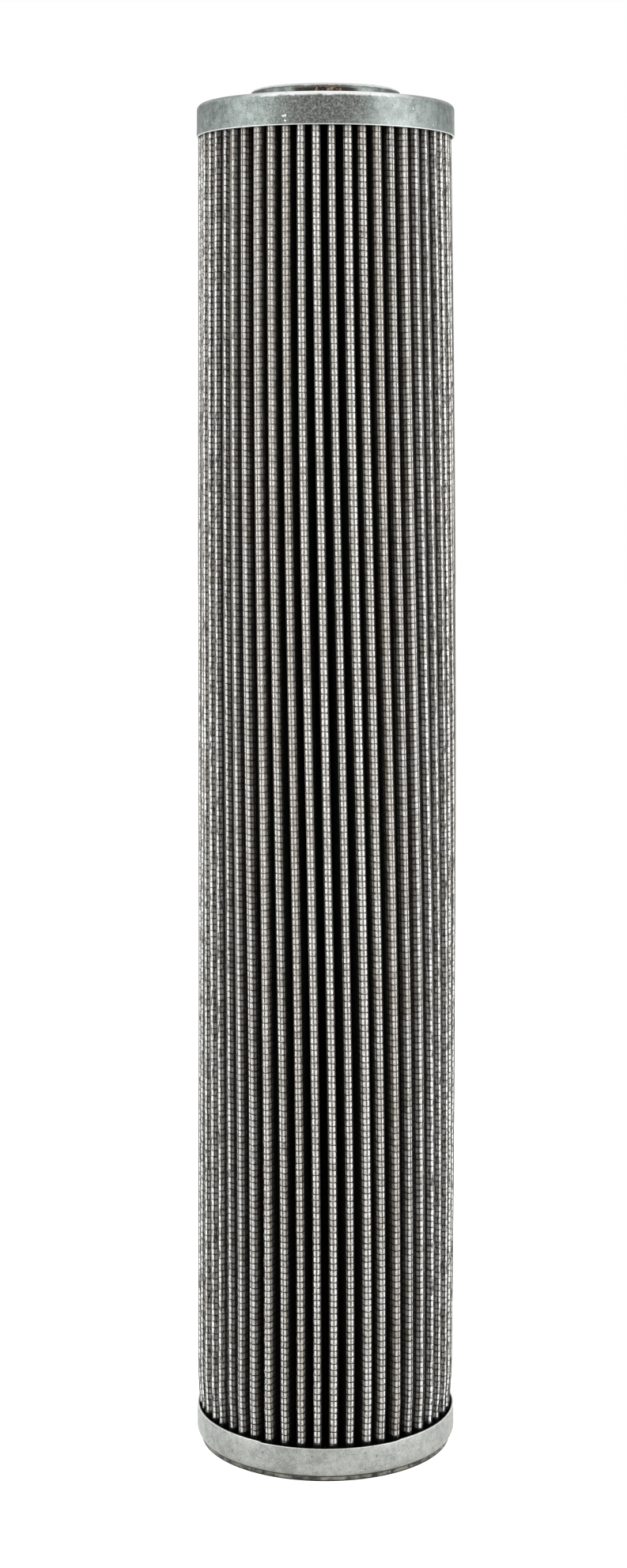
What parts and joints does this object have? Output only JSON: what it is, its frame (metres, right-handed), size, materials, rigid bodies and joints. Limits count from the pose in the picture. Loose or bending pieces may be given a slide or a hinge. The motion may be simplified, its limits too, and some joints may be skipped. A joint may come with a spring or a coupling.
{
  "type": "pleated filter element",
  "caption": "Tall round hydraulic filter element with deep wire-backed pleats, a closed steel cap below and an open, sealed neck on top.",
  "frame": {"origin": "centre of the closed cap's flat base", "axes": "+Z along the element's axis, from the closed cap up to the open neck; -Y faces the side the picture shows"},
  "size_m": [0.0787, 0.0782, 0.4066],
  "materials": {
    "zinc_plated_steel": "dull mottled zinc plate",
    "wire_cloth": "dark coated steel wire",
    "fibre_medium": "matt off-white fibre felt",
    "core_steel": "plain steel",
    "adhesive": "cured amber adhesive",
    "seal_rubber": "black rubber"
  },
  "bodies": {
    "root": {"end_cap_open": "zinc_plated_steel", "end_cap_closed": "zinc_plated_steel", "outer_mesh": "wire_cloth", "filter_medium": "fibre_medium", "inner_mesh": "wire_cloth", "core_tube": "core_steel", "adhesive_bed_open": "adhesive", "adhesive_bed_closed": "adhesive", "o_ring": "seal_rubber"}
  },
  "joints": []
}
